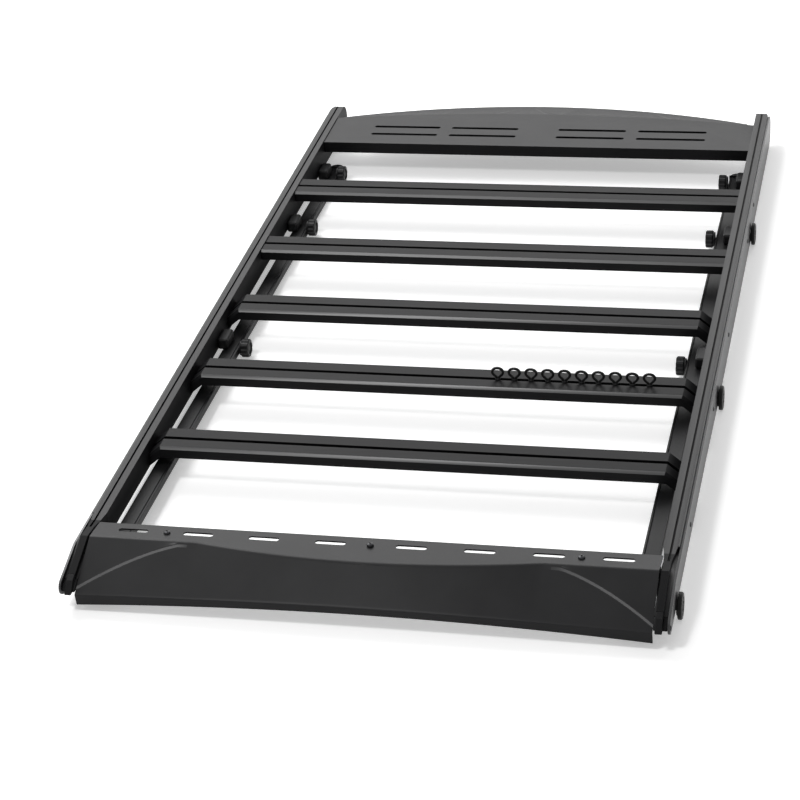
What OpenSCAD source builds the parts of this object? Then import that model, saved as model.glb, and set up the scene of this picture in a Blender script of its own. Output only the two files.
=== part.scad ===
// Flat platform roof rack: two side rails with outer plates, five slotted crossbars,
// a slotted rear plate, a folded wind fairing and two clamp bars under the rails.
// X runs to the right, Y to the rear and Z up; the origin is on the ground at the centre.

/* [Deck] */
// Height of the crossbars' top faces above the ground
deck_h = 82; // [76:1:110]
// Clear width between the side rails
inner_w = 1010; // [900:10:1200]
// Length from the front ends of the side plates to the middle of the rear plate
rack_len = 2086; // [1900:2:2300]

/* [Side rails] */
// Rise of the rails' tops above the deck
rail_rise = 2.5; // [0:0.5:5]
// Width of each side rail
rail_w = 25; // [22:1:36]
// Wall of the hollow side rail
rail_wall = 3; // [2:0.5:4]
// Depth of the rail at its front end
rail_front_h = 45; // [40:1:60]
// Depth of the rail at its rear end
rail_rear_h = 62; // [56:1:72]
// Distance from the front end back to the rail's top crease
nose_len = 124; // [90:1:140]
// Rise of the rail's top at the crease
nose_rise = 6; // [0:1:14]
// Length over which the rail's top rises to the crease
rise_len = 60; // [40:5:120]
// Drop of the rail's nose below the rail's top at its tip
nose_drop = 26; // [8:1:34]
// Distance of the nose's upper corner behind the front end
tip_set = 30; // [10:1:50]
// Distance of the nose's lower corner behind the front end
tip_low_set = 11; // [2:1:20]
// Distance of the rails' rear ends in front of the rear plate's middle
end_set = 18; // [10:1:60]
// Width of the groove along the rail's top
groove_w = 4; // [1.5:0.5:5]
// Depth of the groove along the rail's top
groove_d = 4; // [2:0.5:6]
// Width of the inner strip beside the groove
strip_w = 12.5; // [8:0.5:14]
// Width of the rail's slim nose
nose_w = 13; // [10:1:16]
// Distance of the slim nose from the rail's inner face
waist_in = 7; // [4:1:8]
// Distance from the rail's top crease back to the slim nose's root
waist_back = 34; // [20:2:60]
// Length over which the rail narrows to its nose
waist_len = 50; // [30:5:70]
// Depth of the ledges beside the slim nose below its top
ledge_drop = 10; // [6:1:14]
// Length of the plastic cap in the rail's nose
cap_len = 14; // [8:1:24]

/* [Side plates] */
// Thickness of each outer side plate
plate_t = 4.5; // [3:0.5:8]
// Depth of the side plate at its rear
plate_h = 72; // [50:1:74]
// Distance of the plate's top edge below the rail's top
plate_top = 5; // [2:1:20]
// Depth of the side plate where its lower edge turns toward the nose
plate_mid_h = 58; // [50:1:64]
// Radius of the side plate's nose
plate_nose_r = 15; // [10:1:20]
// Depth of the nose's centre below the rail's top
plate_nose_drop = 42; // [36:1:48]
// Distance of the side plate's nose behind the front end
plate_set = 20; // [10:1:30]
// Slope of the side plate's top edge at the nose, in degrees
plate_slope = 15; // [10:1:25]
// Thickness of the trim strip between rail and plate
trim_t = 3; // [3:0.5:6]
// Height of the trim strip
trim_h = 14; // [10:1:20]
// Distance of the trim strip's top below the rail's top
trim_top = 0.5; // [0.5:0.5:8]

/* [Crossbars] */
// Width of a crossbar
bar_w = 72; // [56:1:90]
// Height of a crossbar
bar_h = 23; // [20:1:30]
// Distance from the first crossbar to the second
rear_pitch = 294.5; // [260:0.5:320]
// Distance from one crossbar to the next, from the second one on
bar_pitch = 274; // [240:0.5:300]
// Gap between the rear plate and the first crossbar
first_gap = 206; // [150:1:260]
// Bevel along the crossbar's rear top edge
rear_bevel = 1.5; // [1:0.5:4]
// Bevel along the crossbar's front top edge
bar_bevel = 5; // [2:0.5:7]
// Wall of the crossbar's hollow section
bar_wall = 2.5; // [1.5:0.5:3]
// Width of the slot's mouth
slot_w = 8.5; // [6:0.5:12]
// Thickness of the lips beside the slot's mouth
slot_lip = 3; // [2:0.5:4]
// Width of the slot's channel under the lips
channel_w = 17; // [14:0.5:22]
// Height of the slot's channel under the lips
channel_h = 8; // [6:0.5:9]
// Length of the sloped end on the three front crossbars
bend_len = 25; // [16:0.5:30]
// Drop of the sloped end
bend_drop = 21; // [14:0.5:26]

/* [Rear plate] */
// Length of the rear plate at its middle
rear_len = 249; // [190:1:280]
// Bow of the rear plate's back edge
rear_bow = 106; // [60:1:110]
// Bow of the crease where the back lip starts
crease_bow = 43; // [30:1:60]
// Drop of the back lip at its middle
lip_drop = 8; // [0:0.5:14]
// Thickness of the rear plate's sheet
sheet_t = 3; // [2:0.5:4]
// Depth of the rear plate's front flange
flange_h = 26; // [20:1:40]
// Width of the rear plate's slots
vent_w = 11; // [6:0.5:12]
// Length of the rear plate's slots
vent_len = 162; // [120:1:170]
// Distance from the front edge to the first row of slots
vent_first = 54; // [40:1:60]
// Distance between the two rows of slots
vent_pitch = 42.5; // [30:0.5:46]
// Distance of the inner slots from the middle
vent_inner_x = 129; // [100:1:135]
// Distance of the outer slots from the middle
vent_outer_x = 319; // [310:1:340]

/* [Fairing] */
// Reach of the fairing's ends past the rails' inner faces, beside the slim noses
fairing_over = 3; // [0:0.5:5]
// Length of the fairing's top flange at its ends
fairing_top = 54; // [40:1:60]
// Fall of the top flange from the crease to its rear edge
fairing_fall = 6; // [0:0.5:10]
// Bow of the fairing's top crease at the middle
fairing_bow = 30; // [20:1:45]
// Distance of the corner creases' inner ends from the middle
corner_x = 308; // [280:1:340]
// Depth of the fairing's ends below the deck
fairing_end_h = 70; // [64:1:75]
// Depth of the fairing's middle below the deck
fairing_mid_h = 52; // [50:1:66]
// Depth of the lower crease below the deck
fairing_low_h = 37; // [32:1:46]
// Thickness of the fairing's sheet
fairing_t = 3; // [2:0.5:4]
// Drop of the corner creases' outer ends below the rail's top
corner_drop = 40; // [30:1:50]
// Distance of the fairing's lower edge behind the rack's front end
lower_set = 18; // [8:1:40]
// Length of the fairing's slots
tie_len = 56; // [40:1:64]
// Width of the fairing's slots
tie_w = 12; // [8:0.5:14]
// Distance from one fairing slot to the next, as a share of the clear width
tie_share = 0.12; // [0.11:0.001:0.125]
// Distance of the middle two fairing slots from the middle, as a share of the clear width
tie_first = 0.072; // [0.06:0.001:0.08]
// Width of the beam under the fairing's flange
beam_w = 18; // [10:1:24]
// Height of the beam under the fairing's flange
beam_h = 13; // [10:1:18]

/* [Clamp bars] */
// Width of the clamp bar
clamp_w = 32; // [24:1:36]
// Height of the clamp bar
clamp_h = 14; // [12:1:18]
// Gap between the clamp bar and the rail's inner face
clamp_gap = 10; // [2:0.5:14]
// Distance of the clamp bar's rear end from the rack's rear end
clamp_rear = 251; // [200:1:270]
// Distance of the clamp bar's front end from the rack's front end
clamp_front = 80; // [70:1:120]
// Depth of the clamp bar's top below the deck at its rear end
clamp_rear_top = 65.5; // [60:0.5:66]
// Fall of the clamp bar from front to rear, in degrees
clamp_fall = 0.95; // [0:0.05:1]
// Depth of the knobs' centres below the deck
knob_depth = 57.5; // [50:0.5:60]
// Radius of a clamp knob
knob_r = 19.5; // [12:0.5:22]
// Length of a clamp knob
knob_len = 17; // [12:1:24]
// Length of a foot block along the rail
foot_len = 50; // [28:1:60]
// Part of the clamp bar's width that a foot block covers
foot_cover = 0.4; // [0.2:0.05:1]
// Height of a foot block
foot_h = 24; // [16:1:30]
// Radius of an outer disc
disc_r = 24; // [18:1:26]
// Thickness of an outer disc
disc_t = 8; // [6:1:12]
// Length of the boss that carries an outer disc
boss_len = 2.5; // [1:0.5:4]
// Depth of the outer discs' centres below the deck
disc_depth = 58; // [54:1:62]

/* [Eye bolts] */
// Number of eye bolts in the fourth crossbar
eye_count = 10; // [1:1:12]
// Distance from one eye bolt to the next
eye_pitch = 32.9; // [30:0.1:36]
// Distance of the last eye bolt from the rail
eye_margin = 92; // [60:1:140]
// Wire radius of an eye
eye_wire = 2; // [1.5:0.25:3]
// Outer width of an eye
eye_w = 22; // [18:0.5:26]
// Height of an eye above the deck
eye_h = 27; // [24:0.5:36]

/* [Hidden] */
// Small overlap that makes cuts run clean through a face
eps = 0.5;
front_y = -rack_len / 2;
rear_y = rack_len / 2;
rail_x = inner_w / 2;
crease_y = front_y + nose_len;
plate_front_y = rear_y - rear_len;
rail_top = deck_h + rail_rise;
// Side view of the rail: its rear end and its nose tip
rail_end_y = rear_y - end_set;
tip_y = front_y + tip_set;
tip_low_y = front_y + tip_low_set;
cap_end_y = tip_y + cap_len;
waist_y = crease_y + waist_back;
// Front edge of crossbar number n, counted from the rear
function bar_y(n) = plate_front_y - first_gap - bar_w
    - (n > 1 ? rear_pitch + (n - 2) * bar_pitch : 0);
// Y of a bowed edge at the distance x from the middle
function arc_y(x, half, bow) =
    let (r = (half * half + bow * bow) / (2 * bow))
    sqrt(r * r - x * x) - (r - bow);

// Draws a side view in Y and Z and gives it a thickness across X from x0 to x0 + t
module across(x0, t) {
    translate([x0, 0, 0])
        rotate([90, 0, 90])
            linear_extrude(t)
                children();
}

// Turns a part that is drawn on the right into its left twin
module left() {
    mirror([1, 0, 0]) children();
}

// Side view of the rail, drawn inset by its wall for the hollow inside
module rail_side(inset) {
    end_r = rail_rear_h / 2;
    translate([rail_end_y - end_r, rail_top - end_r])
        circle(r = end_r - inset, $fn = 64);
    polygon([
        [rail_end_y - end_r, rail_top - inset],
        [crease_y + rise_len, rail_top - inset],
        [crease_y, rail_top + nose_rise - inset],
        [tip_y + inset, rail_top - nose_drop - inset],
        [tip_low_y + inset, rail_top - rail_front_h + inset],
        [rail_end_y - end_r, rail_top - rail_rear_h + inset]
    ]);
}

// Plan of the right rail, which narrows on both sides to a slim nose
module rail_plan() {
    nose_in = rail_x + waist_in;
    polygon([
        [rail_x, rear_y], [rail_x, waist_y + waist_len], [nose_in, waist_y],
        [nose_in, front_y - eps], [nose_in + nose_w, front_y - eps], [nose_in + nose_w, waist_y],
        [rail_x + rail_w, waist_y + waist_len], [rail_x + rail_w, rear_y]
    ]);
}

// Inner face of the ledges beside the slim nose, just outside the fairing's end
ledge_x = rail_x + fairing_over + 0.3;

// Solid of the right rail from its side view and its plan, with ledges that close
// the gaps beside the slim nose
module rail_body() {
    intersection() {
        across(rail_x, rail_w) rail_side(0);
        linear_extrude(rail_top + nose_rise + eps) rail_plan();
    }
    across(ledge_x, rail_x + rail_w + trim_t - ledge_x)
        intersection() {
            rail_side(0);
            translate([0, -ledge_drop]) rail_side(0);
            translate([front_y, 0]) square([waist_y + waist_len - front_y, 2 * rail_top]);
        }
}

module side_rail() {
    color("#35363a")
    difference() {
        rail_body();
        // Hollow inside, closed toward the slim nose
        intersection() {
            across(rail_x + rail_wall, rail_w - 2 * rail_wall) rail_side(rail_wall + groove_d);
            translate([rail_x, waist_y + waist_len + rail_wall, 0])
                cube([rail_w, rack_len, rail_top + nose_rise]);
        }
        // Groove between the two strips of the rail's top
        translate([rail_x + strip_w, waist_y, rail_top - groove_d])
            cube([groove_w, rack_len, groove_d + nose_rise + eps]);
        // Seat of the nose cap
        translate([rail_x - eps, front_y - eps, 0])
            cube([rail_w + 2 * trim_t, cap_end_y - front_y + eps, rail_top + nose_rise]);
    }
}

// Plastic cap that closes the rail's nose
module nose_cap() {
    color("#1b1c1e")
    intersection() {
        rail_body();
        translate([rail_x - eps, front_y - eps, 0])
            cube([rail_w + 2 * trim_t, cap_end_y - front_y + eps, rail_top + nose_rise]);
    }
}

// Places where the side plate's lower edge turns, from the rear, as shares of the rack's length
plate_shares = [0.571, 0.715];

// Outer side plate, round at the rear and tapering to a small round nose
module side_plate() {
    r = plate_h / 2;
    top = rail_top - plate_top;
    nose_y = front_y + plate_set + plate_nose_r;
    nose_z = rail_top - plate_nose_drop;
    slope_y = nose_y - plate_nose_r * sin(plate_slope);
    slope_z = nose_z + plate_nose_r * cos(plate_slope);
    color("#3c3d41")
    across(rail_x + rail_w + trim_t, plate_t)
        union() {
            translate([rail_end_y - r, top - r]) circle(r = r, $fn = 96);
            translate([nose_y, nose_z]) circle(r = plate_nose_r, $fn = 96);
            polygon([
                [rail_end_y - r, top],
                [slope_y + (top - slope_z) / tan(plate_slope), top],
                [slope_y, slope_z],
                [nose_y, nose_z - plate_nose_r],
                [rear_y - plate_shares[1] * rack_len, top - plate_mid_h],
                [rear_y - plate_shares[0] * rack_len, top - plate_h],
                [rail_end_y - r, top - plate_h]
            ]);
        }
}

// Trim strip between the rail and the side plate
module trim() {
    y0 = waist_y + waist_len;
    color("#2b2c2f")
    translate([rail_x + rail_w, y0, rail_top - trim_top - trim_h])
        cube([trim_t, rail_end_y - rail_rear_h / 2 - y0, trim_h]);
}

// Cross-section of a crossbar, front edge at 0, top at 0
module bar_section() {
    mid = bar_w / 2;
    side_in = mid - channel_w / 2 - bar_wall;
    floor_z = -slot_lip - channel_h - bar_wall;
    difference() {
        polygon([
            [0, -bar_h], [bar_w, -bar_h], [bar_w, -rear_bevel],
            [bar_w - rear_bevel, 0], [bar_bevel, 0], [0, -bar_bevel]
        ]);
        translate([mid - slot_w / 2, -slot_lip - eps]) square([slot_w, slot_lip + 2 * eps]);
        translate([mid - channel_w / 2, -slot_lip - channel_h]) square([channel_w, channel_h]);
        translate([mid - channel_w / 2, -bar_h + bar_wall])
            square([channel_w, bar_h - bar_wall + floor_z]);
        for (m = [0, 1])
            translate([m * bar_w, 0])
                mirror([m, 0])
                    polygon([
                        [bar_wall, -bar_h + bar_wall], [side_in, -bar_h + bar_wall],
                        [side_in, -bar_wall], [bar_bevel + bar_wall / 2, -bar_wall],
                        [bar_wall, -bar_bevel - bar_wall / 2]
                    ]);
    }
}

// Side view in X and Z of a bent crossbar between the depths z0 and z1 under its top
module bent_band(z0, z1, over) {
    half = rail_x - bend_len;
    end_x = rail_x + over;
    end_z = -bend_drop * (bend_len + over) / bend_len;
    polygon([
        [-end_x, end_z + z0], [-half, z0], [half, z0], [end_x, end_z + z0],
        [end_x, end_z + z1], [half, z1], [-half, z1], [-end_x, end_z + z1]
    ]);
}

// Extrudes a side view in X and Z from y0 to y0 + w
module along(y0, w) {
    translate([0, y0 + w, 0])
        rotate([90, 0, 0])
            linear_extrude(w)
                children();
}

// Cutter for a bevel along one top edge, from x = 0 to x = len
module edge_cutter(len, bevel) {
    rotate([45, 0, 0])
        translate([0, -2 * bar_bevel, -bevel / sqrt(2)])
            cube([len, 4 * bar_bevel, 4 * bar_bevel]);
}

// Crossbar whose ends slope down to the rails
module bent_bar() {
    half = rail_x - bend_len;
    slope = atan2(bend_drop, bend_len);
    reach = 2 * norm([bend_len, bend_drop]);
    mid = bar_w / 2;
    side_w = mid - channel_w / 2 - 2 * bar_wall;
    cell_top = -bar_wall - bar_bevel / 2;
    cell_low = -bar_h + bar_wall;
    channel_low = -slot_lip - channel_h;
    difference() {
        along(0, bar_w) bent_band(0, -bar_h, 0);
        along(mid - slot_w / 2, slot_w) bent_band(eps, -slot_lip - eps, eps);
        along(mid - channel_w / 2, channel_w) bent_band(-slot_lip, channel_low, eps);
        along(mid - channel_w / 2, channel_w) bent_band(channel_low - bar_wall, cell_low, eps);
        for (y = [bar_wall, bar_w - bar_wall - side_w])
            along(y, side_w) bent_band(cell_top, cell_low, eps);
        for (m = [0, 1])
            translate([0, m * bar_w, 0])
                mirror([0, m, 0]) {
                    bevel = m == 0 ? bar_bevel : rear_bevel;
                    translate([-rail_x, 0, 0]) edge_cutter(inner_w, bevel);
                    for (k = [0, 1])
                        mirror([k, 0, 0])
                            translate([half, 0, 0])
                                rotate([0, slope, 0])
                                    translate([-reach, 0, 0]) edge_cutter(2 * reach, bevel);
                }
    }
}

// Crossbar number n: the rear two run straight to the rails, the others slope down to them
module crossbar(n) {
    color("#303135")
    translate([0, bar_y(n), deck_h])
        if (n > 2)
            bent_bar();
        else
            across(-rail_x, inner_w) bar_section();
}

// Slot with round ends, drawn around its centre along X
module slot_2d(len, w) {
    for (m = [-1, 1])
        translate([m * (len - w) / 2, 0]) circle(d = w, $fn = 32);
    square([len - w, w], center = true);
}

// Flat of the rear plate up to its crease
module rear_flat() {
    end_len = rear_len - rear_bow;
    r = (rail_x * rail_x + crease_bow * crease_bow) / (2 * crease_bow);
    intersection() {
        translate([-rail_x, plate_front_y]) square([inner_w, rear_len]);
        translate([0, plate_front_y + end_len + crease_bow - r]) circle(r = r, $fn = 360);
    }
}

// Sloping lip behind the rear plate's crease
module rear_lip() {
    end_y = plate_front_y + rear_len - rear_bow;
    steps = 24;
    half = rail_x * 0.97;
    xs = [for (i = [0:steps]) half * (2 * i / steps - 1)];
    inner = [for (x = xs) [x, end_y + arc_y(x, rail_x, crease_bow) - 1, deck_h]];
    outer = [for (x = xs)
        let (y0 = arc_y(x, rail_x, crease_bow), y1 = arc_y(x, rail_x, rear_bow))
        [x, end_y + y1, deck_h - lip_drop * (y1 - y0) / (rear_bow - crease_bow)]];
    down = [0, 0, -sheet_t];
    n = steps + 1;
    points = concat(inner, outer, [for (p = inner) p + down], [for (p = outer) p + down]);
    faces = concat(
        [for (i = [0:steps - 1]) [i, n + i, n + i + 1, i + 1]],
        [for (i = [0:steps - 1]) [2 * n + i, 2 * n + i + 1, 3 * n + i + 1, 3 * n + i]],
        [for (i = [0:steps - 1]) [n + i, 3 * n + i, 3 * n + i + 1, n + i + 1]],
        [for (i = [0:steps - 1]) [i, i + 1, 2 * n + i + 1, 2 * n + i]],
        [[0, 2 * n, 3 * n, n]],
        [[steps, n + steps, 3 * n + steps, 2 * n + steps]]
    );
    polyhedron(points, faces, convexity = 4);
}

// Slotted rear plate with a front flange and a sloping back lip
module rear_plate() {
    color("#4a4b4f")
    union() {
        difference() {
            translate([0, 0, deck_h - sheet_t]) linear_extrude(sheet_t) rear_flat();
            for (m = [-1, 1], x = [vent_inner_x, vent_outer_x], row = [0, 1])
                translate([m * x, plate_front_y + vent_first + row * vent_pitch, deck_h - sheet_t - eps])
                    linear_extrude(sheet_t + 2 * eps) slot_2d(vent_len, vent_w);
        }
        translate([-rail_x, plate_front_y, deck_h - flange_h])
            cube([inner_w, sheet_t, flange_h]);
        rear_lip();
    }
}

// Part of the lower edge's sag that the lower crease follows
low_sag_part = 0.6;
// Distance of the corner creases' outer ends behind the lower crease
fold_set = 4;
// Distance of the lower edge behind the lower crease
lean = 2;
// Points of the fairing's outer face at the distance x from the middle, from its rear edge down
function fairing_row(x, in) =
    let (
        a = abs(x),
        half = rail_x + fairing_over,
        end_t = max(0, (a - corner_x) / (half - corner_x)),
        mid_t = min(1, a / corner_x),
        bow = (1 - mid_t * mid_t) * fairing_bow,
        top_y = crease_y - bow,
        low_y = front_y + lower_set,
        top_z = rail_top + nose_rise,
        fold_z = rail_top + nose_rise - end_t * (nose_rise + corner_drop),
        sag = (a / half) * (a / half) * (fairing_end_h - fairing_mid_h),
        low_z = rail_top - fairing_low_h - sag * low_sag_part,
        end_z = rail_top - fairing_mid_h - sag
    ) [
        [x, crease_y + fairing_top, top_z - fairing_fall - in],
        [x, top_y + in * 0.3, top_z - in],
        [x, top_y - end_t * (top_y - low_y - fold_set) + in * 0.7, fold_z - in * 0.7],
        [x, low_y + in, low_z],
        [x, low_y + lean + in, end_z]
    ];

// Folded sheet with a flat top flange, corner creases and an arched lower edge
module fairing_skin() {
    half = rail_x + fairing_over;
    steps = 40;
    rows = 5;
    xs = [for (i = [0:steps]) half * (2 * i / steps - 1)];
    outer = [for (x = xs) each fairing_row(x, 0)];
    inner = [for (x = xs) each fairing_row(x, fairing_t)];
    n = (steps + 1) * rows;
    faces = concat(
        [for (i = [0:steps - 1], j = [0:rows - 2])
            [i * rows + j, i * rows + j + 1, (i + 1) * rows + j + 1, (i + 1) * rows + j]],
        [for (i = [0:steps - 1], j = [0:rows - 2])
            [n + i * rows + j, n + (i + 1) * rows + j, n + (i + 1) * rows + j + 1, n + i * rows + j + 1]],
        [for (i = [0:steps - 1])
            [i * rows, (i + 1) * rows, n + (i + 1) * rows, n + i * rows]],
        [for (i = [0:steps - 1])
            [i * rows + rows - 1, n + i * rows + rows - 1,
             n + (i + 1) * rows + rows - 1, (i + 1) * rows + rows - 1]],
        [for (j = [0:rows - 2]) [j, n + j, n + j + 1, j + 1]],
        [for (j = [0:rows - 2])
            [steps * rows + j, steps * rows + j + 1, n + steps * rows + j + 1, n + steps * rows + j]]
    );
    polyhedron(concat(outer, inner), faces, convexity = 6);
}

module fairing() {
    color("#2f3034")
    difference() {
        fairing_skin();
        for (m = [-1, 1], i = [0:3])
            translate([
                m * (tie_first + i * tie_share) * inner_w,
                crease_y + fairing_top / 2 + 3,
                deck_h - bar_h
            ])
                linear_extrude(2 * bar_h) slot_2d(tie_len, tie_w);
    }
}

// Distance of the front beam behind the fairing's top crease
beam_set = 4;

// Hollow beam between the rails that the fairing's flange is screwed to, in front of its slots
module front_beam() {
    y0 = crease_y + beam_set;
    rise = fairing_fall * (fairing_top - beam_set - beam_w) / (fairing_top + fairing_bow);
    top = rail_top + nose_rise - fairing_fall + rise - fairing_t - 0.3;
    color("#202124")
    difference() {
        translate([-ledge_x, y0, top - beam_h]) cube([2 * ledge_x, beam_w, beam_h]);
        translate([-ledge_x - eps, y0 + bar_wall, top - beam_h + bar_wall])
            cube([2 * ledge_x + 2 * eps, beam_w - 2 * bar_wall, beam_h - 2 * bar_wall]);
    }
}

// Places a part along the sloping clamp bar: Y along the bar from its rear end, Z = 0 at its top
module on_clamp_bar() {
    translate([rail_x - clamp_gap, rear_y - clamp_rear, deck_h - clamp_rear_top])
        rotate([-clamp_fall, 0, 0])
            children();
}

// Length of the clamp bar
clamp_len = rack_len - clamp_rear - clamp_front;

// Clamp bar with a line of grip along its top, closed at the front
module clamp_bar() {
    color("#26272a")
    on_clamp_bar()
        difference() {
            translate([-clamp_w, -clamp_len, -clamp_h]) cube([clamp_w, clamp_len, clamp_h]);
            translate([-clamp_w + 4, -clamp_len - eps, -1.5]) cube([1.5, clamp_len + 2 * eps, 2]);
        }
}

// Domed cap with a thin rim on the clamp bar's rear end
module bar_cap() {
    rim = 2;
    color("#1b1c1e")
    on_clamp_bar() {
        translate([-clamp_w - rim, 0, -clamp_h]) cube([clamp_w + 2 * rim, 3, clamp_h + rim]);
        translate([-clamp_w / 2, 3, -clamp_h])
            intersection() {
                cylinder(r = clamp_w / 2, h = clamp_h, $fn = 64);
                translate([-clamp_w, 0, 0]) cube([2 * clamp_w, clamp_w, clamp_h]);
            }
    }
}

// Places of the foot blocks and knobs from the clamp bar's rear end, as shares of its length
foot_shares = [0.0296, 0.193, 0.514, 0.977];
// Places of the outer discs from the rear, as shares of the rack's length
disc_shares = [0.2675, 0.609, 0.943];
// Place and top of the clamp bar at a share of its length
function foot_y(share) = rear_y - clamp_rear - share * clamp_len;
function clamp_top(share) = deck_h - clamp_rear_top + share * clamp_len * tan(clamp_fall);

// Foot blocks that join the rail to the clamp bar
module feet() {
    width = clamp_gap + clamp_w * foot_cover;
    color("#1d1e20")
    for (share = foot_shares)
        translate([rail_x - width, foot_y(share) - foot_len / 2, clamp_top(share) + 0.5])
            cube([width, foot_len, foot_h]);
}

// Clamp knobs with a collar, against the inner face of the clamp bar
module knobs() {
    collar_len = 3;
    color("#17181a")
    for (share = foot_shares)
        translate([rail_x - clamp_gap - clamp_w - 0.3, foot_y(share), deck_h - knob_depth])
            rotate([0, -90, 0]) {
                cylinder(r = knob_r * 0.8, h = collar_len + 1, $fn = 64);
                translate([0, 0, collar_len]) cylinder(r = knob_r, h = knob_len, $fn = 64);
            }
}

// Outer discs on round bosses, each with a hexagon socket
module discs() {
    x0 = rail_x + rail_w + trim_t + plate_t;
    color("#202124")
    for (share = disc_shares)
        translate([x0, rear_y - share * rack_len, deck_h - disc_depth])
            rotate([0, 90, 0])
                difference() {
                    union() {
                        cylinder(r = disc_r * 0.7, h = boss_len + eps, $fn = 64);
                        translate([0, 0, boss_len]) cylinder(r = disc_r, h = disc_t, $fn = 96);
                    }
                    translate([0, 0, boss_len + disc_t - 6]) cylinder(r = 5, h = 7, $fn = 6);
                }
}

// Eye bolt number n, with its shoulder on the fourth crossbar
module eye_bolt(n) {
    ring_r = eye_w / 2 - eye_wire;
    if (n <= eye_count)
        color("#141517")
        translate([
            rail_x - eye_margin - (eye_count - n) * eye_pitch,
            bar_y(4) + bar_w / 2,
            deck_h
        ]) {
            cylinder(r = 6, h = 3, $fn = 48);
            translate([0, 0, -slot_lip - 5])
                cylinder(r = eye_wire + 1, h = eye_h - eye_w + slot_lip + 6.5, $fn = 32);
            translate([0, 0, -slot_lip - 4]) cylinder(r = 6.5, h = 4, $fn = 6);
            translate([0, 0, eye_h - eye_w / 2])
                rotate([90, 0, 0])
                    rotate_extrude($fn = 48)
                        translate([ring_r, 0]) circle(r = eye_wire, $fn = 24);
        }
}

left() side_rail();  // side_rail_left
side_rail();  // side_rail_right
left() side_plate();  // side_plate_left
side_plate();  // side_plate_right
left() trim();  // trim_left
trim();  // trim_right
left() nose_cap();  // nose_cap_left
nose_cap();  // nose_cap_right
crossbar(1);  // crossbar_1
crossbar(2);  // crossbar_2
crossbar(3);  // crossbar_3
crossbar(4);  // crossbar_4
crossbar(5);  // crossbar_5
rear_plate();
fairing();
front_beam();
left() clamp_bar();  // clamp_bar_left
clamp_bar();  // clamp_bar_right
left() bar_cap();  // bar_cap_left
bar_cap();  // bar_cap_right
left() feet();  // feet_left
feet();  // feet_right
left() knobs();  // knobs_left
knobs();  // knobs_right
left() discs();  // discs_left
discs();  // discs_right
eye_bolt(1);  // eye_bolt_1
eye_bolt(2);  // eye_bolt_2
eye_bolt(3);  // eye_bolt_3
eye_bolt(4);  // eye_bolt_4
eye_bolt(5);  // eye_bolt_5
eye_bolt(6);  // eye_bolt_6
eye_bolt(7);  // eye_bolt_7
eye_bolt(8);  // eye_bolt_8
eye_bolt(9);  // eye_bolt_9
eye_bolt(10);  // eye_bolt_10
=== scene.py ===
# Flat platform roof rack in satin black powder coat on a plain white floor.
# Lengths are in millimetres and turned to metres by MM, unless a comment says otherwise.
import math

import bmesh
import bpy
from mathutils import Matrix, Vector


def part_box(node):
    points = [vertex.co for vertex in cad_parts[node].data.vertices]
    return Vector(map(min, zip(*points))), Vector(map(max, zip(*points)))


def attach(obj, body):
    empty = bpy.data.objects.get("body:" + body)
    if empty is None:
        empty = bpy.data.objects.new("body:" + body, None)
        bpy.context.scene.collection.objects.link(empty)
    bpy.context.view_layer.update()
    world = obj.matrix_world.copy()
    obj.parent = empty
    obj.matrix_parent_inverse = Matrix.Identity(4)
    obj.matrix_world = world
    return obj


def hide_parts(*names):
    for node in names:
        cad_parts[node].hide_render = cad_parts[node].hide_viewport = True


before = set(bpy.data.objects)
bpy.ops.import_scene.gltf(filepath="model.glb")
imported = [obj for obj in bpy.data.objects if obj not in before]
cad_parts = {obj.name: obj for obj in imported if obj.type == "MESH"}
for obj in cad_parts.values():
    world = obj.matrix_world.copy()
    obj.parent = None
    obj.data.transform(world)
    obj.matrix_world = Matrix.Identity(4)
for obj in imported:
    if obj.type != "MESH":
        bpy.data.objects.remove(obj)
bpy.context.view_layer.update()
MM = 0.001

# Photograph's frame and the lens that goes with it
PHOTO_PIXELS = 800
FOCAL_PIXELS = 2338.2
SENSOR_WIDTH = 36.0

# Camera's place in metres, and its three ways
CAMERA_PLACE = (0.94592, -4.15799, 2.35024)
CAMERA_RIGHT = Vector((0.97395, 0.21382, -0.07556))
CAMERA_UP = Vector((-0.04433, 0.50624, 0.86125))
CAMERA_FORWARD = Vector((-0.22240, 0.83546, -0.50253))

# Each side of the rack, and the way in X that it lies
SIDES = {"left": -1.0, "right": 1.0}
# Height of the deck that the eye bolts stand on
DECK_TOP = 82.0
# Outer face of the side plates, where discs and screws sit, and inner seat of the knobs
PLATE_FACE = 537.5
KNOB_SEAT = 462.7

# Half the width of the channel behind a crossbar's slot, and reach in X of a rail's groove, in
# metres: the walls within both get painted shade
CHANNEL_HALF = 0.009
GROOVE_SHADE_BAND = (0.5174, 0.5216)


# Puts the camera where the photograph was taken from
def place_camera():
    data = bpy.data.cameras.new("camera")
    data.sensor_width = SENSOR_WIDTH
    data.lens = FOCAL_PIXELS / PHOTO_PIXELS * SENSOR_WIDTH
    data.clip_end = 100.0
    camera = bpy.data.objects.new("camera", data)
    bpy.context.scene.collection.objects.link(camera)
    turn = Matrix((CAMERA_RIGHT, CAMERA_UP, -CAMERA_FORWARD)).transposed()
    camera.matrix_world = Matrix.Translation(CAMERA_PLACE) @ turn.to_4x4()
    bpy.context.scene.camera = camera


# Turns an sRGB hex colour into linear values with alpha
def linear(hex_colour):
    parts = [int(hex_colour[i:i + 2], 16) / 255 for i in (1, 3, 5)]
    return [p / 12.92 if p <= 0.04045 else ((p + 0.055) / 1.055) ** 2.4 for p in parts] + [1.0]


# Adds a node with its settings and links, and returns it
def add(tree, kind, settings=None, inputs=None, links=None):
    node = tree.nodes.new(kind)
    for name, value in (settings or {}).items():
        setattr(node, name, value)
    for name, value in (inputs or {}).items():
        node.inputs[name].default_value = value
    for name, socket in (links or {}).items():
        tree.links.new(socket, node.inputs[name])
    return node


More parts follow.
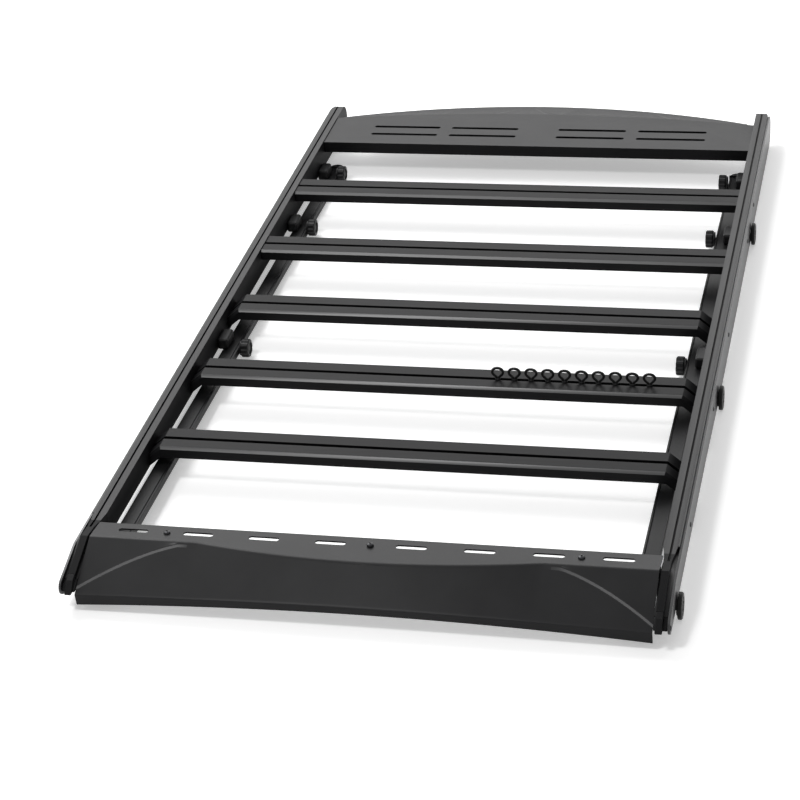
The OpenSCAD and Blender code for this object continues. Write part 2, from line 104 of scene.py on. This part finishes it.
# Starts a material with an empty node tree
def start_material(name):
    material = bpy.data.materials.new(name)
    material.use_nodes = True
    material.node_tree.nodes.clear()
    return material, material.node_tree


# The coat's real pebbles are about 0.3 mm wide; they are drawn coarser so that they show
PEBBLE_WIDTH = 1.6
# Faint cloudiness of a sprayed coat, a hand's breadth wide
CLOUD_WIDTH = 90.0
# The mould's spark-eroded grain is about 0.2 mm wide; it is drawn coarser so that it shows
GRAIN_WIDTH = 1.2
# Uneven patches of the zinc plating, as wide as the real ones
WEAR_WIDTH = 4.0
# Depth of pebbles and grain in metres
SKIN_DEPTH = 0.0002


# Satin powder coat: a fine pebbled skin with soft, broad gloss and faint cloudiness
def powder_coat(name, dark, light, roughness, specular):
    material, tree = start_material(name)
    place = add(tree, "ShaderNodeTexCoord").outputs["Object"]
    pebbles = add(tree, "ShaderNodeTexNoise", inputs={"Scale": 1000 / PEBBLE_WIDTH, "Detail": 3.0},
                  links={"Vector": place})
    clouds = add(tree, "ShaderNodeTexNoise", inputs={"Scale": 1000 / CLOUD_WIDTH, "Detail": 4.0},
                 links={"Vector": place})
    tone = add(tree, "ShaderNodeValToRGB", links={"Fac": clouds.outputs["Fac"]})
    tone.color_ramp.elements[0].position = 0.3
    tone.color_ramp.elements[0].color = linear(dark)
    tone.color_ramp.elements[1].position = 0.7
    tone.color_ramp.elements[1].color = linear(light)
    gloss = add(tree, "ShaderNodeMapRange",
                inputs={"To Min": roughness - 0.03, "To Max": roughness + 0.05},
                links={"Value": pebbles.outputs["Fac"]})
    bump = add(tree, "ShaderNodeBump", inputs={"Strength": 0.25, "Distance": SKIN_DEPTH},
               links={"Height": pebbles.outputs["Fac"]})
    shader = add(tree, "ShaderNodeBsdfPrincipled",
                 inputs={"Specular IOR Level": specular, "IOR": 1.5},
                 links={"Base Color": tone.outputs["Color"], "Roughness": gloss.outputs["Result"],
                        "Normal": bump.outputs["Normal"]})
    add(tree, "ShaderNodeOutputMaterial", links={"Surface": shader.outputs["BSDF"]})
    return material


# Moulded nylon: nearly black, with a fine grain from the mould that kills the gloss
def moulded_nylon(name, colour, roughness, specular):
    material, tree = start_material(name)
    place = add(tree, "ShaderNodeTexCoord").outputs["Object"]
    grain = add(tree, "ShaderNodeTexVoronoi", inputs={"Scale": 1000 / GRAIN_WIDTH},
                links={"Vector": place})
    shade = add(tree, "ShaderNodeMixRGB",
                inputs={"Color1": linear(colour), "Color2": linear("#1c1c1d")},
                links={"Fac": grain.outputs["Distance"]})
    bump = add(tree, "ShaderNodeBump", inputs={"Strength": 0.3, "Distance": SKIN_DEPTH},
               links={"Height": grain.outputs["Distance"]})
    shader = add(tree, "ShaderNodeBsdfPrincipled",
                 inputs={"Roughness": roughness, "Specular IOR Level": specular, "IOR": 1.53},
                 links={"Base Color": shade.outputs["Color"], "Normal": bump.outputs["Normal"]})
    add(tree, "ShaderNodeOutputMaterial", links={"Surface": shader.outputs["BSDF"]})
    return material


# Black zinc-plated steel: a dark metal with a thin, slightly uneven gloss
def black_steel(name, colour, roughness):
    material, tree = start_material(name)
    place = add(tree, "ShaderNodeTexCoord").outputs["Object"]
    wear = add(tree, "ShaderNodeTexNoise", inputs={"Scale": 1000 / WEAR_WIDTH, "Detail": 5.0},
               links={"Vector": place})
    tone = add(tree, "ShaderNodeValToRGB", links={"Fac": wear.outputs["Fac"]})
    tone.color_ramp.elements[0].color = linear(colour)
    tone.color_ramp.elements[1].color = linear("#3a3b3e")
    gloss = add(tree, "ShaderNodeMapRange",
                inputs={"To Min": roughness - 0.05, "To Max": roughness + 0.1},
                links={"Value": wear.outputs["Fac"]})
    shader = add(tree, "ShaderNodeBsdfPrincipled", inputs={"Metallic": 0.6},
                 links={"Base Color": tone.outputs["Color"], "Roughness": gloss.outputs["Result"]})
    add(tree, "ShaderNodeOutputMaterial", links={"Surface": shader.outputs["BSDF"]})
    return material


# Rails: coat on extruded aluminium, whose tops turn mid grey under the back light
frame_coat = powder_coat("frame_coat", "#1a1a1b", "#202021", 0.38, 0.14)
# Outer plates on flat bar: a lighter, glossier copy of the rails' coat, as painted light that makes
# their outer faces the lightest of the rack
plate_lit_coat = powder_coat("plate_lit_coat", "#222223", "#29292b", 0.36, 0.4)
# Painted shade: a nearly black, dull copy of the coat for the rails' inner faces and grooves, the
# rear plate's front faces, the walls of the bars' slots and the trays, where shade falls
painted_shade_coat = powder_coat("painted_shade_coat", "#0d0d0e", "#131314", 0.5, 0.06)
# Crossbars: a darker coat with little gloss, black in front and dark grey on top
bar_coat = powder_coat("bar_coat", "#111112", "#161617", 0.4, 0.062)
# Painted highlight: a lighter, glossier copy of the bar coat on the bars' front bevels, which draws a
# light line along them
bevel_highlight_coat = powder_coat("bevel_highlight_coat", "#232324", "#2a2a2b", 0.34, 0.62)
# Rear plate: coat on cut sheet, one even grey
sheet_coat = powder_coat("sheet_coat", "#1b1b1c", "#222223", 0.38, 0.105)
# Fairing: coat on folded sheet, an even dark grey front
fairing_coat = powder_coat("fairing_coat", "#1b1b1c", "#212122", 0.38, 0.12)
# Painted highlight: a lighter, glossier copy of the fairing coat on the flanks of the corner folds,
# so that they shine more
fold_highlight_coat = powder_coat("fold_highlight_coat", "#242425", "#2b2b2c", 0.32, 0.17)
# Clamp bars, feet and front beam: a matt coat that stays dark under the deck
clamp_coat = powder_coat("clamp_coat", "#101011", "#151516", 0.45, 0.12)
# Discs: coat on turned aluminium, with a soft light along the rim
disc_coat = powder_coat("disc_coat", "#131314", "#191919", 0.38, 0.14)
# Strips between rail and plate: a dull dark line
trim_strip = moulded_nylon("trim_strip", "#0f0f10", 0.42, 0.2)
# Caps of the noses and of the clamp bars: black with hardly any gloss
cap_plastic = moulded_nylon("cap_plastic", "#0a0a0b", 0.45, 0.07)
# Clamp knobs: black, with a faint light on each lobe
knob_plastic = moulded_nylon("knob_plastic", "#08090a", 0.42, 0.12)
# The eyes are dipped in a black nylon that hides the steel's shine
eye_coat = moulded_nylon("eye_coat", "#040404", 0.4, 0.1)
# Screws: a small hard glint on dark steel
eye_steel = black_steel("eye_steel", "#101011", 0.32)

COATS = {
    "side_rail": frame_coat, "side_plate": frame_coat, "trim": trim_strip, "nose_cap": cap_plastic,
    "crossbar": bar_coat, "rear_plate": sheet_coat, "fairing": fairing_coat,
    "front_beam": clamp_coat, "clamp_bar": clamp_coat, "bar_cap": cap_plastic,
    "feet": clamp_coat, "knobs": knob_plastic, "discs": disc_coat, "eye_bolt": eye_steel,
}


# Gives every carried-over node the finish of its kind
def coat_nodes():
    for name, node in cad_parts.items():
        kind = max((k for k in COATS if name.startswith(k)), key=len)
        node.data.materials.clear()
        node.data.materials.append(COATS[kind])


# Makes an object of a finished bmesh, with its coat, riding on the rack
def finish_piece(name, mesh_work, coat, smooth_degrees=35):
    mesh = bpy.data.meshes.new(name)
    mesh_work.to_mesh(mesh)
    mesh_work.free()
    mesh.materials.append(coat)
    piece = bpy.data.objects.new(name, mesh)
    bpy.context.scene.collection.objects.link(piece)
    mesh.shade_smooth()
    mesh.set_sharp_from_angle(angle=math.radians(smooth_degrees))
    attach(piece, "root")
    return piece


# Paints shade on the walls of the slot along a crossbar's middle, with the painted shade coat
def paint_slot_shade(piece, middle_y):
    piece.data.materials.append(painted_shade_coat)
    last = len(piece.data.materials) - 1
    for face in piece.data.polygons:
        if abs(face.center.y - middle_y) < CHANNEL_HALF and abs(face.normal.y) > 0.5:
            face.material_index = last


# Paints the faces that look one way, or that lie in a band of X, with a second coat of painted light:
# painted shade on the rails and rear plate, a painted highlight on the crossbars' bevels
def paint_light_by_facing(piece, painted_coat, way, limit=0.8, band=None):
    piece.data.materials.append(painted_coat)
    for face in piece.data.polygons:
        in_band = band is not None and band[0] < abs(face.center.x) < band[1]
        if face.normal.dot(way) > limit or in_band:
            face.material_index = 1


# Least angle of a corner that is rounded, and greatest angle between faces that are one plane
CORNER_DEGREES = 28
FLAT_DEGREES = 0.4


# Copies a node's solid and rounds its corners as the coat does
def ease_edges(node_name, coat, width, segments=2):
    work = bmesh.new()
    work.from_mesh(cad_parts[node_name].data)
    bmesh.ops.remove_doubles(work, verts=work.verts, dist=0.02 * MM)
    bmesh.ops.dissolve_limit(work, angle_limit=math.radians(FLAT_DEGREES), verts=work.verts,
                             edges=work.edges, use_dissolve_boundaries=False)
    piece = finish_piece(node_name + "_eased", work, coat)
    bevel = piece.modifiers.new("eased corners", "BEVEL")
    bevel.width = width * MM
    bevel.segments = segments
    bevel.limit_method = "ANGLE"
    bevel.angle_limit = math.radians(CORNER_DEGREES)
    bevel.harden_normals = True
    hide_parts(node_name)
    return piece


# Half the fairing's length, and where its corner folds start
FAIRING_HALF = 508.0
FOLD_START = 308.0
# Rear edge of the flange, in Y and Z
FLANGE_EDGE = (-865.0, 84.5)
# Crease between flange and front: its place at the corner folds, and how far its middle bows out
CREASE_Y = -919.0
CREASE_Z = 90.5
CREASE_BOW = 30.0
# Lower fold and lower edge at the middle, and how far the edge comes down at the ends
LOW_Y = -1025.0
LOW_Z = 47.5
END_Y = LOW_Y + 2.0
END_Z = 32.5
END_SAG = 18.0
# Share of the edge's sag that the lower fold follows
LOW_SAG = 0.6
# Reach of the two folds' round corners, and the flat margin beside them
CREASE_FOLD = (2.4, 4.6)
LOW_FOLD = (2.0, 5.0)
# Ridge of a corner fold: least way below the crease, share of the front that it crosses, and height
RIDGE_LEAST = 6.5
RIDGE_SHARE = 0.868
RIDGE_HEIGHT = 1.1
# Share of the fold where the ridge starts to rise, and over which it comes to its height
RIDGE_START = 0.02
RIDGE_RISE = 0.12
# Steps across the ridge: way down the front, and share of the ridge's height
RIDGE_STEPS = ((-2.5, 0.97), (0.0, 1.0), (0.5, 0.91), (5.0, 0.09), (5.5, 0.0), (8.0, 0.0))
# Rows of the outline between which the flank of a ridge lies, which gets the painted highlight, and
# where it starts in X
FLANK_ROWS = (7, 10)
FLANK_START = FOLD_START + 20.0
SHEET = 3.0
# Columns of faces along the whole fairing, and along one corner fold
COLUMNS = 128
FOLD_COLUMNS = 24
# Slots in the flange: places in X on each side, place in Y, length and width
TIE_SLOTS = (72.7, 193.9, 315.1, 436.3)
TIE_Y = -889.0
TIE_LENGTH = 56.0
TIE_WIDTH = 12.0
# Heights between which the punch passes the flange
PUNCH_REACH = (70.0, 110.0)


# Point at a distance along the straight from one point to another, all in the YZ plane
def along(start, end, distance):
    return start + (end - start).normalized() * distance


# Round corner of three points at a fold, with a flat margin before and after it
def soft_fold(before, fold, after, reach, margin):
    first = along(fold, before, reach)
    last = along(fold, after, reach)
    middle = first * 0.25 + fold * 0.5 + last * 0.25
    return [along(fold, before, margin), first, middle, last, along(fold, after, margin)]


# Outline of the fairing's outer face at one place of its length, from the flange down
def fairing_outline(x):
    side = abs(x)
    share = max(0.0, (side - FOLD_START) / (FAIRING_HALF - FOLD_START))
    bow = CREASE_BOW * (1.0 - min(1.0, side / FOLD_START) ** 2)
    sag = END_SAG * (side / FAIRING_HALF) ** 2
    flange = Vector(FLANGE_EDGE)
    crease = Vector((CREASE_Y - bow, CREASE_Z))
    low = Vector((LOW_Y, LOW_Z - LOW_SAG * sag))
    end = Vector((END_Y, END_Z - sag))
    down = (low - crease).normalized()
    out = Vector((down.y, -down.x))
    # The corner stands a little proud of the front, with a narrow flank that catches the light
    ridge = max(RIDGE_LEAST, RIDGE_SHARE * (low - crease).length * share ** 1.5)
    proud = RIDGE_HEIGHT * min(1.0, max(0.0, (share - RIDGE_START) / RIDGE_RISE))
    rows = [flange] + soft_fold(flange, crease, low, *CREASE_FOLD)
    rows += [crease + down * (ridge + way) + out * proud * part for way, part in RIDGE_STEPS]
    rows += soft_fold(crease, low, end, *LOW_FOLD) + [end]
    return rows


# Place along the fairing of a share of its columns, with whole columns at the fold starts
def fairing_place(share):
    column = share * COLUMNS
    if column <= FOLD_COLUMNS:
        return -FAIRING_HALF + (FAIRING_HALF - FOLD_START) * column / FOLD_COLUMNS
    if column >= COLUMNS - FOLD_COLUMNS:
        return FAIRING_HALF - (FAIRING_HALF - FOLD_START) * (COLUMNS - column) / FOLD_COLUMNS
    return FOLD_START * (2 * (column - FOLD_COLUMNS) / (COLUMNS - 2 * FOLD_COLUMNS) - 1)


# Upright bar with round ends that cuts one slot of the flange, as the punch does
def add_punch(work, x):
    low, high = PUNCH_REACH
    made = bmesh.ops.create_circle(work, cap_ends=True, cap_tris=False, segments=24,
                                   radius=TIE_WIDTH / 2)
    # The two points on the circle's middle line stay, and all others go out to the round ends
    for vert in made["verts"]:
        if abs(vert.co.x) > TIE_WIDTH / 1000:
            vert.co.x += math.copysign((TIE_LENGTH - TIE_WIDTH) / 2, vert.co.x)
    face = made["verts"][0].link_faces[0]
    grown = bmesh.ops.extrude_face_region(work, geom=[face])["geom"]
    tops = [g for g in grown if isinstance(g, bmesh.types.BMVert)]
    bmesh.ops.translate(work, vec=(0, 0, high - low), verts=tops)
    bmesh.ops.translate(work, vec=(x, TIE_Y, low), verts=made["verts"] + tops)


# Turns modifiers into plain mesh and clears them away
def settle(piece):
    graph = bpy.context.evaluated_depsgraph_get()
    mesh = bpy.data.meshes.new_from_object(piece.evaluated_get(graph))
    piece.modifiers.clear()
    piece.data = mesh


# Folded wind fairing: one bent sheet with punched slots and raised corners
def make_fairing():
    work = bmesh.new()
    rows = len(fairing_outline(0.0))
    bmesh.ops.create_grid(work, x_segments=COLUMNS, y_segments=rows - 1, size=0.5)
    # The flanks of the corner folds get the second coat, a painted highlight
    for face in work.faces:
        middle = face.calc_center_median()
        row = (0.5 - middle.y) * (rows - 1)
        on_fold = abs(fairing_place(middle.x + 0.5)) > FLANK_START
        face.material_index = 1 if on_fold and FLANK_ROWS[0] < row < FLANK_ROWS[1] else 0
    for vert in work.verts:
        x = fairing_place(vert.co.x + 0.5)
        row = rows - 1 - round((vert.co.y + 0.5) * (rows - 1))
        point = fairing_outline(x)[row]
        vert.co = Vector((x, point.x, point.y)) * MM
    piece = finish_piece("fairing_sheet", work, fairing_coat, 30)
    piece.data.materials.append(fold_highlight_coat)
    wall = piece.modifiers.new("wall", "SOLIDIFY")
    wall.thickness = SHEET * MM
    wall.offset = -1.0
    punches = bmesh.new()
    for side in (-1, 1):
        for x in TIE_SLOTS:
            add_punch(punches, side * x)
    bmesh.ops.scale(punches, vec=(MM, MM, MM), verts=punches.verts)
    bmesh.ops.recalc_face_normals(punches, faces=punches.faces)
    tool_mesh = bpy.data.meshes.new("punches")
    punches.to_mesh(tool_mesh)
    punches.free()
    tool = bpy.data.objects.new("punches", tool_mesh)
    bpy.context.scene.collection.objects.link(tool)
    cut = piece.modifiers.new("slots", "BOOLEAN")
    cut.operation = "DIFFERENCE"
    cut.object = tool
    settle(piece)
    bpy.data.objects.remove(tool)
    piece.data.shade_smooth()
    piece.data.set_sharp_from_angle(angle=math.radians(35))
    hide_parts("fairing")


# Turns an outline of radius and height into a round body about the Z axis
def spin_outline(work, outline, steps):
    made = [work.verts.new((radius, 0.0, height)) for radius, height in outline]
    edges = [work.edges.new(pair) for pair in zip(made, made[1:])]
    bmesh.ops.spin(work, geom=made + edges, cent=(0, 0, 0), axis=(0, 0, 1), angle=math.tau,
                   steps=steps, use_merge=True)
    bmesh.ops.remove_doubles(work, verts=work.verts, dist=0.001)
    bmesh.ops.recalc_face_normals(work, faces=work.faces)


# Presses the round socket of a turned screw to a hexagon with the same corners
def press_socket(work, radius):
    for vert in work.verts:
        if abs(math.hypot(vert.co.x, vert.co.y) - radius) < 0.01:
            turn = math.atan2(vert.co.y, vert.co.x) % (math.pi / 3) - math.pi / 6
            flat = math.cos(math.pi / 6) / math.cos(turn)
            vert.co.x *= flat
            vert.co.y *= flat


# Copies a body made about the Z axis to its places, turned so that Z looks along a way
def place_copies(name, work, places, way, coat, nodes=()):
    turn = Vector(way).to_track_quat("Z", "Y").to_matrix().to_4x4()
    whole = bmesh.new()
    mesh = bpy.data.meshes.new(name + "_one")
    work.to_mesh(mesh)
    work.free()
    for place in places:
        before = set(whole.verts)
        whole.from_mesh(mesh)
        new = [v for v in whole.verts if v not in before]
        bmesh.ops.transform(whole, matrix=Matrix.Translation(place) @ turn, verts=new)
    bmesh.ops.scale(whole, vec=(MM, MM, MM), verts=whole.verts)
    bpy.data.meshes.remove(mesh)
    piece = finish_piece(name, whole, coat, 32)
    if nodes:
        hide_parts(*nodes)


# Outline of a disc and of its screw, as radius and height from the plate, and the discs' places
DISC_OUTLINE = ((0, 0), (16.8, 0), (16.8, 2.5), (23.2, 2.5), (24, 3.3), (24, 8.4), (22.4, 10.2),
                (16.6, 10.4), (15.8, 9.4), (13.4, 9.4), (12.6, 10.4), (9.2, 10.4), (9.2, 8.6),
                (5.6, 8.6), (5.6, 6.0), (0, 6.0))
DISC_SOCKET = 2.6
DISC_SCREW = ((0, 6.0), (5.4, 6.0), (5.4, 9.8), (4.6, 10.4), (DISC_SOCKET, 10.4),
              (DISC_SOCKET, 8.2), (0, 8.2))
DISC_ROWS = (485.0, -227.4, -924.1)
DISC_HEIGHT = 24.0


# Outer disc: a turned washer with a rounded rim, a shallow ring and a raised screw
def make_discs(side, way):
    places = [(way * PLATE_FACE, y, DISC_HEIGHT) for y in DISC_ROWS]
    work = bmesh.new()
    spin_outline(work, DISC_OUTLINE, 64)
    place_copies("discs_turned_" + side, work, places, (way, 0, 0), disc_coat,
                 ["discs_" + side])
    screws = bmesh.new()
    spin_outline(screws, DISC_SCREW, 24)
    press_socket(screws, DISC_SOCKET)
    place_copies("disc_screws_" + side, screws, places, (way, 0, 0), eye_steel)


# Outline of a knob before its lobes are pressed, and the knobs' places
KNOB_OUTLINE = ((0, 0), (15.6, 0), (15.6, 3.4), (18.0, 3.6), (19.5, 5.4), (19.5, 18.0),
                (17.6, 19.8), (12.5, 20.0), (11.5, 17.5), (6.5, 17.5), (6.0, 18.6), (0, 18.6))
KNOB_ROWS = (740.1, 453.3, -110.1, -922.6)
KNOB_HEIGHT = 24.5
LOBES = 8
# Share of the radius that the hollows between lobes go in, and the radius where the grip starts
LOBE_DEPTH = 0.11
GRIP_START = 16.0


# Clamp knob: eight round lobes, a soft rim and a sunk hub
def make_knobs(side, way):
    work = bmesh.new()
    spin_outline(work, KNOB_OUTLINE, 96)
    for vert in work.verts:
        if math.hypot(vert.co.x, vert.co.y) > GRIP_START:
            wave = 0.5 - 0.5 * math.cos(LOBES * math.atan2(vert.co.y, vert.co.x))
            dip = 1.0 - LOBE_DEPTH * wave ** 2
            vert.co.x *= dip
            vert.co.y *= dip
    places = [(way * KNOB_SEAT, y, KNOB_HEIGHT) for y in KNOB_ROWS]
    place_copies("knobs_lobed_" + side, work, places, (-way, 0, 0), knob_plastic,
                 ["knobs_" + side])


# Flange screws: places in X, place in Y and Z, radius, height and socket radius
FLANGE_SCREWS = (-372.0, 0.0, 372.0)
FLANGE_SEAT = (-892.0, 87.4)
FLANGE_SCREW = (6.2, 4.6, 2.4)
# Plate screws: places in Y and Z, radius, height and socket radius
PLATE_SCREWS = ((552.7, 62.0), (453.1, 45.2), (406.9, 45.0), (-17.5, 48.1), (-315.8, 51.3),
                (-714.0, 50.0), (-1015.0, 42.5))
PLATE_SCREW = (4.6, 2.0, 2.0)


# Low round-headed screw with a hexagon socket
def button_screw(radius, height, socket):
    outline = ((0, -0.6), (radius, -0.6), (radius, height * 0.35), (radius * 0.9, height * 0.7),
               (radius * 0.66, height * 0.93), (socket, height), (socket, height * 0.4),
               (0, height * 0.4))
    work = bmesh.new()
    spin_outline(work, outline, 24)
    press_socket(work, socket)
    return work


# Screws through the fairing's flange, which leans back a little
def make_flange_screws():
    places = [(x, *FLANGE_SEAT) for x in FLANGE_SCREWS]
    place_copies("fairing_screws", button_screw(*FLANGE_SCREW), places, (0, 0.1, 1), eye_steel)


# Screws through an outer plate
def make_plate_screws(side, way):
    places = [(way * PLATE_FACE, y, z) for y, z in PLATE_SCREWS]
    place_copies("plate_screws_" + side, button_screw(*PLATE_SCREW), places, (way, 0, 0),
                 eye_steel)


# Half of the eye's bent wire from its neck up, as place across and height above the deck
EYE_WIRE = ((1.6, 1.0), (2.2, 4.5), (6.4, 8.2), (10.4, 12.5), (11.0, 17.6), (8.2, 22.0),
            (3.6, 24.0))
EYE_CROWN = (0.0, 24.3)
EYE_WIRE_RADIUS = 2.7
# Outline of the shank, with its nut below the slot's lips and its collar on the deck
EYE_SHANK = ((0, -7.0), (6.2, -7.0), (6.2, -3.2), (3.4, -3.2), (3.4, 0.0), (5.6, 0.0), (5.6, 1.6),
             (4.6, 2.6), (3.2, 3.4), (0, 3.4))


# Mesh of the wire of one eye, with its middle at a place of the deck
def bend_wire(x, y):
    path = [(-across, up) for across, up in EYE_WIRE] + [EYE_CROWN]
    path += [(across, up) for across, up in reversed(EYE_WIRE)]
    curve = bpy.data.curves.new("eye_wire", "CURVE")
    curve.dimensions = "3D"
    curve.bevel_depth = EYE_WIRE_RADIUS
    curve.bevel_resolution = 4
    curve.use_fill_caps = True
    spline = curve.splines.new("NURBS")
    spline.points.add(len(path) - 1)
    for point, (across, up) in zip(spline.points, path):
        point.co = (x + across, y, DECK_TOP + up, 1.0)
    spline.order_u = 4
    spline.use_endpoint_u = True
    spline.resolution_u = 5
    wire = bpy.data.objects.new("eye_wire", curve)
    bpy.context.scene.collection.objects.link(wire)
    graph = bpy.context.evaluated_depsgraph_get()
    bent = bpy.data.meshes.new_from_object(wire.evaluated_get(graph))
    bpy.data.objects.remove(wire)
    return bent


# Eye bolt: a wire bent to an open eye on a shouldered shank with its nut in the slot
def make_eye(number):
    low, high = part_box("eye_bolt_%d" % number)
    x = (low[0] + high[0]) / 2 / MM
    y = (low[1] + high[1]) / 2 / MM
    work = bmesh.new()
    spin_outline(work, EYE_SHANK, 24)
    bmesh.ops.translate(work, vec=(x, y, DECK_TOP), verts=work.verts)
    work.from_mesh(bend_wire(x, y))
    bmesh.ops.scale(work, vec=(MM, MM, MM), verts=work.verts)
    piece = finish_piece("eye_bent_%d" % number, work, eye_coat, 40)
    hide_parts("eye_bolt_%d" % number)


# Trays in metres: size, place of the right one's middle, wall, and radius of the corners
TRAY_SIZE = (0.384, 0.086, 0.018)
TRAY_PLACE = (0.224, 0.8693, 0.0699)
TRAY_WALL = 0.0012
TRAY_CORNER = 0.003


# Shallow trays in painted shade under the rear plate's slots, held against the sheet: a dark sheet
# where there is only shade, so that the slots read black
def make_shade_trays():
    across, y, z = TRAY_PLACE
    work = bmesh.new()
    for side in (-1, 1):
        made = bmesh.ops.create_cube(work, size=1.0)
        bmesh.ops.scale(work, vec=TRAY_SIZE, verts=made["verts"])
        bmesh.ops.translate(work, vec=(side * across, y, z), verts=made["verts"])
    open_tops = [f for f in work.faces if f.normal.z > 0.5]
    bmesh.ops.delete(work, geom=open_tops, context="FACES_ONLY")
    corners = [e for e in work.edges if len(e.link_faces) == 2]
    bmesh.ops.bevel(work, geom=corners, offset=TRAY_CORNER, offset_type="OFFSET", segments=3,
                    profile=0.5, affect="EDGES", material=-1)
    piece = finish_piece("slot_shade_trays", work, painted_shade_coat)
    wall = piece.modifiers.new("wall", "SOLIDIFY")
    wall.thickness = TRAY_WALL
    wall.offset = -1.0


# Is 1 for a ray from the camera, a gloss or a glass, and 0 for the light that falls on things
def seen_ray(tree):
    rays = add(tree, "ShaderNodeLightPath")
    first = add(tree, "ShaderNodeMath", settings={"operation": "MAXIMUM"},
                links={0: rays.outputs["Is Camera Ray"], 1: rays.outputs["Is Transmission Ray"]})
    seen = add(tree, "ShaderNodeMath", settings={"operation": "MAXIMUM"},
               links={0: first.outputs["Value"], 1: rays.outputs["Is Glossy Ray"]})
    return seen.outputs["Value"]


# Half the floor's width in metres
FLOOR_HALF = 40.0
# Floor's own white near the rack and far from it, and the distances in metres between which it grows
NEAR_WHITE = 0.38
FAR_WHITE = 0.8
WHITE_REACH = (1.8, 6.0)
# Light of the world on the rack, where the white that the camera sees is 1
WORLD_LIGHT = 0.34


# Floor of plain paper that reads white to the camera and keeps the rack's shadow
def make_floor():
    work = bmesh.new()
    bmesh.ops.create_grid(work, x_segments=1, y_segments=1, size=FLOOR_HALF)
    mesh = bpy.data.meshes.new("floor")
    work.to_mesh(mesh)
    work.free()
    material, tree = start_material("floor_paper")
    paper = add(tree, "ShaderNodeBsdfDiffuse", inputs={"Color": linear("#f9f9f9")})
    # The paper is lit less far from the lamps, so its own white makes up for that out there
    place = add(tree, "ShaderNodeTexCoord").outputs["Object"]
    reach = add(tree, "ShaderNodeVectorMath", settings={"operation": "LENGTH"}, links={0: place})
    far = add(tree, "ShaderNodeMapRange",
              inputs={"From Min": WHITE_REACH[0], "From Max": WHITE_REACH[1],
                      "To Min": NEAR_WHITE, "To Max": FAR_WHITE},
              links={"Value": reach.outputs["Value"]})
    glow = add(tree, "ShaderNodeMath", settings={"operation": "MULTIPLY"},
               links={0: seen_ray(tree), 1: far.outputs["Result"]})
    white = add(tree, "ShaderNodeEmission", inputs={"Color": linear("#ffffff")},
                links={"Strength": glow.outputs["Value"]})
    both = add(tree, "ShaderNodeAddShader",
               links={0: paper.outputs["BSDF"], 1: white.outputs["Emission"]})
    add(tree, "ShaderNodeOutputMaterial", links={"Surface": both.outputs["Shader"]})
    mesh.materials.append(material)
    floor = bpy.data.objects.new("floor", mesh)
    bpy.context.scene.collection.objects.link(floor)


# World that the camera sees white and that lights the rack softly
def make_world():
    world = bpy.data.worlds.new("studio")
    bpy.context.scene.world = world
    world.use_nodes = True
    tree = world.node_tree
    tree.nodes.clear()
    soft = add(tree, "ShaderNodeBackground",
               inputs={"Color": linear("#ffffff"), "Strength": WORLD_LIGHT})
    white = add(tree, "ShaderNodeBackground",
                inputs={"Color": linear("#ffffff"), "Strength": 1.0})
    mixed = add(tree, "ShaderNodeMixShader",
                links={0: seen_ray(tree), 1: soft.outputs["Background"],
                       2: white.outputs["Background"]})
    add(tree, "ShaderNodeOutputWorld", links={"Surface": mixed.outputs["Shader"]})


# Soft boxes by name: place and size in metres, and power in watts
SOFTBOXES = {
    # Large, behind the rack: its reflection lightens every top face
    "back_box": ((-0.55, 5.0, 3.2), (5.0, 3.4), 150.0),
    # At the rear left: throws the shadows to the right and to the front
    "left_box": ((-2.5, 2.0, 3.6), (2.2, 2.2), 150.0),
    # Small, in front: draws the light lines on bevels and folds
    "key_box": ((-1.2, -2.2, 3.8), (0.7, 0.7), 60.0),
}


# Soft box over the rack, turned to the middle of the rack
def add_softbox(name, place, size, power):
    data = bpy.data.lights.new(name, "AREA")
    data.shape = "RECTANGLE"
    data.size = size[0]
    data.size_y = size[1]
    data.energy = power
    lamp = bpy.data.objects.new(name, data)
    bpy.context.scene.collection.objects.link(lamp)
    turn = (-Vector(place)).to_track_quat("-Z", "Y").to_matrix().to_4x4()
    lamp.matrix_world = Matrix.Translation(place) @ turn


place_camera()
make_world()
make_floor()
for name, (place, size, power) in SOFTBOXES.items():
    add_softbox(name, place, size, power)
coat_nodes()

for side, way in SIDES.items():
    rail = ease_edges("side_rail_" + side, frame_coat, width=0.8)
    # The rail's inner faces and its groove get painted shade
    paint_light_by_facing(rail, painted_shade_coat, Vector((-way, 0, 0)), band=GROOVE_SHADE_BAND)
    # The outer plates get the lighter copy of the coat: painted light on their outer faces
    ease_edges("side_plate_" + side, plate_lit_coat, width=0.6)
    ease_edges("clamp_bar_" + side, clamp_coat, width=1.0)
    ease_edges("bar_cap_" + side, cap_plastic, width=3.0, segments=4)
    ease_edges("feet_" + side, clamp_coat, width=5.0, segments=4)
    ease_edges("nose_cap_" + side, cap_plastic, width=1.5, segments=3)
    make_discs(side, way)
    make_knobs(side, way)
for number in range(1, 6):
    bar = ease_edges("crossbar_%d" % number, bar_coat, width=0.5)
    # The bar's front bevel gets a painted highlight
    paint_light_by_facing(bar, bevel_highlight_coat, Vector((0, -1, 1)).normalized(), limit=0.93)
    low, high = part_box("crossbar_%d" % number)
    # The walls of the bar's slot get painted shade
    paint_slot_shade(bar, (low[1] + high[1]) / 2)
plate = ease_edges("rear_plate", sheet_coat, width=0.5)
# The rear plate's front-facing faces, its flange and the slots' far walls, get painted shade
paint_light_by_facing(plate, painted_shade_coat, Vector((0, -1, 0)))
make_fairing()
make_flange_screws()
for side, way in SIDES.items():
    make_plate_screws(side, way)
make_shade_trays()
for number in range(1, 11):
    make_eye(number)

scene = bpy.context.scene
scene.view_settings.view_transform = "Standard"
